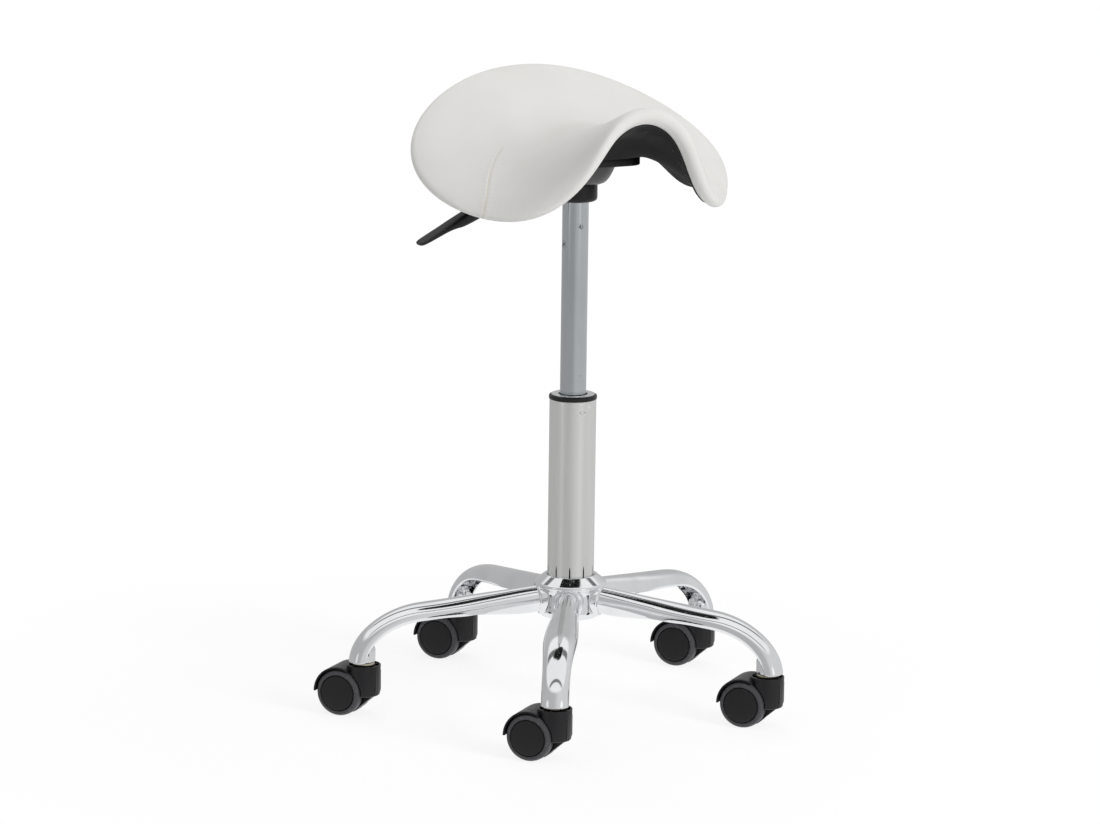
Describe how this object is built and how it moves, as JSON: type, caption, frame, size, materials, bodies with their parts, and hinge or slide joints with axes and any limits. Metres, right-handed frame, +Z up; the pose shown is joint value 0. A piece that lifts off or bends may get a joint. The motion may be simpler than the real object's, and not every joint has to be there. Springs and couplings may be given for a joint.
{
  "type": "saddle stool",
  "caption": "Saddle stool with a padded saddle seat on a gas lift, a height lever under the seat, and a chromed star base on swivelling casters.",
  "frame": {"origin": "bottom centre of the bounding box at rest, on the floor", "axes": "+Z up; the narrow front of the seat points along -Y; the lever is at -X, on the right hand of a person who sits on it"},
  "size_m": [0.4934, 0.485, 0.6829],
  "materials": {
    "white_cover": "smooth off-white imitation leather, satin",
    "shell_black": "matt black moulded shell",
    "lining_black": "matt black lining cloth",
    "chrome": "bright chrome plate",
    "satin_steel": "ground and satin-plated steel tube",
    "zinc_steel": "zinc-plated steel",
    "black_steel": "black powder coat",
    "black_plastic": "black moulded nylon, satin",
    "tyre_grey": "dark grey soft tread"
  },
  "bodies": {
    "base": {"hub": "chrome", "column_tube": "chrome", "guide_bush": "black_plastic", "arm_1": "chrome", "caster_1_stem": "zinc_steel", "arm_2": "chrome", "caster_2_stem": "zinc_steel", "arm_3": "chrome", "caster_3_stem": "zinc_steel", "arm_4": "chrome", "caster_4_stem": "zinc_steel", "arm_5": "chrome", "caster_5_stem": "zinc_steel"},
    "caster_1": {"caster_1_housing": "black_plastic", "caster_1_axle": "zinc_steel"},
    "caster_1_left_wheel": {"caster_1_wheel_left": "black_plastic", "caster_1_tyre_left": "tyre_grey"},
    "caster_1_right_wheel": {"caster_1_wheel_right": "black_plastic", "caster_1_tyre_right": "tyre_grey"},
    "caster_2": {"caster_2_housing": "black_plastic", "caster_2_axle": "zinc_steel"},
    "caster_2_left_wheel": {"caster_2_wheel_left": "black_plastic", "caster_2_tyre_left": "tyre_grey"},
    "caster_2_right_wheel": {"caster_2_wheel_right": "black_plastic", "caster_2_tyre_right": "tyre_grey"},
    "caster_3": {"caster_3_housing": "black_plastic", "caster_3_axle": "zinc_steel"},
    "caster_3_left_wheel": {"caster_3_wheel_left": "black_plastic", "caster_3_tyre_left": "tyre_grey"},
    "caster_3_right_wheel": {"caster_3_wheel_right": "black_plastic", "caster_3_tyre_right": "tyre_grey"},
    "caster_4": {"caster_4_housing": "black_plastic", "caster_4_axle": "zinc_steel"},
    "caster_4_left_wheel": {"caster_4_wheel_left": "black_plastic", "caster_4_tyre_left": "tyre_grey"},
    "caster_4_right_wheel": {"caster_4_wheel_right": "black_plastic", "caster_4_tyre_right": "tyre_grey"},
    "caster_5": {"caster_5_housing": "black_plastic", "caster_5_axle": "zinc_steel"},
    "caster_5_left_wheel": {"caster_5_wheel_left": "black_plastic", "caster_5_tyre_left": "tyre_grey"},
    "caster_5_right_wheel": {"caster_5_wheel_right": "black_plastic", "caster_5_tyre_right": "tyre_grey"},
    "lift_rod": {"piston_rod": "satin_steel", "thrust_bearing": "zinc_steel", "retaining_clip": "black_steel"},
    "seat": {"pressure_tube": "satin_steel", "shroud": "black_plastic", "mechanism_pan": "black_steel", "mount_plate": "black_steel", "seat_bolt_1": "zinc_steel", "seat_bolt_2": "zinc_steel", "seat_bolt_3": "zinc_steel", "seat_bolt_4": "zinc_steel", "seat_shell": "shell_black", "under_lining": "lining_black", "seat_pad": "white_cover"},
    "lever": {"lever_rod": "black_steel", "lever_grip": "black_plastic"},
    "button": {"release_button": "zinc_steel"}
  },
  "joints": [
    {"name": "caster_1_swivel", "type": "hinge", "parent": "base", "child": "caster_1", "pos_m": [-0.1043, -0.22468, 0.0463], "axis": [0, 0, 1], "continuous": true},
    {"name": "caster_1_left_spin", "type": "hinge", "parent": "caster_1", "child": "caster_1_left_wheel", "pos_m": [-0.11785, -0.20734, 0.025], "axis": [-0.788, -0.6157, 0], "continuous": true},
    {"name": "caster_1_right_spin", "type": "hinge", "parent": "caster_1", "child": "caster_1_right_wheel", "pos_m": [-0.11785, -0.20734, 0.025], "axis": [-0.788, -0.6157, 0], "continuous": true},
    {"name": "caster_2_swivel", "type": "hinge", "parent": "base", "child": "caster_2", "pos_m": [0.16096, -0.20985, 0.0463], "axis": [0, 0, 1], "continuous": true},
    {"name": "caster_2_left_spin", "type": "hinge", "parent": "caster_2", "child": "caster_2_left_wheel", "pos_m": [0.14741, -0.19251, 0.025], "axis": [-0.788, -0.6157, 0], "continuous": true},
    {"name": "caster_2_right_spin", "type": "hinge", "parent": "caster_2", "child": "caster_2_right_wheel", "pos_m": [0.14741, -0.19251, 0.025], "axis": [-0.788, -0.6157, 0], "continuous": true},
    {"name": "caster_3_swivel", "type": "hinge", "parent": "base", "child": "caster_3", "pos_m": [0.22883, 0.04702, 0.0463], "axis": [0, 0, 1], "continuous": true},
    {"name": "caster_3_left_spin", "type": "hinge", "parent": "caster_3", "child": "caster_3_left_wheel", "pos_m": [0.21528, 0.06435, 0.025], "axis": [-0.788, -0.6157, 0], "continuous": true},
    {"name": "caster_3_right_spin", "type": "hinge", "parent": "caster_3", "child": "caster_3_right_wheel", "pos_m": [0.21528, 0.06435, 0.025], "axis": [-0.788, -0.6157, 0], "continuous": true},
    {"name": "caster_4_swivel", "type": "hinge", "parent": "base", "child": "caster_4", "pos_m": [0.00551, 0.19094, 0.0463], "axis": [0, 0, 1], "continuous": true},
    {"name": "caster_4_left_spin", "type": "hinge", "parent": "caster_4", "child": "caster_4_left_wheel", "pos_m": [-0.00804, 0.20828, 0.025], "axis": [-0.788, -0.6157, 0], "continuous": true},
    {"name": "caster_4_right_spin", "type": "hinge", "parent": "caster_4", "child": "caster_4_right_wheel", "pos_m": [-0.00804, 0.20828, 0.025], "axis": [-0.788, -0.6157, 0], "continuous": true},
    {"name": "caster_5_swivel", "type": "hinge", "parent": "base", "child": "caster_5", "pos_m": [-0.20038, 0.02302, 0.0463], "axis": [0, 0, 1], "continuous": true},
    {"name": "caster_5_left_spin", "type": "hinge", "parent": "caster_5", "child": "caster_5_left_wheel", "pos_m": [-0.21393, 0.04036, 0.025], "axis": [-0.788, -0.6157, 0], "continuous": true},
    {"name": "caster_5_right_spin", "type": "hinge", "parent": "caster_5", "child": "caster_5_right_wheel", "pos_m": [-0.21393, 0.04036, 0.025], "axis": [-0.788, -0.6157, 0], "continuous": true},
    {"name": "column_swivel", "type": "hinge", "parent": "base", "child": "lift_rod", "pos_m": [0.01812, -0.03471, 0.105], "axis": [0, 0, 1], "continuous": true},
    {"name": "height_slide", "type": "slide", "parent": "lift_rod", "child": "seat", "axis": [0, 0, 1], "range_m": [-0.18, 0]},
    {"name": "lever_pull", "type": "hinge", "parent": "seat", "child": "lever", "pos_m": [-0.00588, -0.03471, 0.5881], "axis": [0, 1, 0], "range_deg": [0, 8], "stiffness_Nm_per_rad": 1.5, "springref_deg": -20.05},
    {"name": "button_press", "type": "slide", "parent": "seat", "child": "button", "axis": [0, 0, 1], "range_m": [-0.005, 0], "stiffness_N_per_m": 400, "springref_m": 0.004}
  ],
  "couplings": [
    {"joint": "button_press", "follows": "lever_pull", "m_per_rad": -0.028}
  ]
}
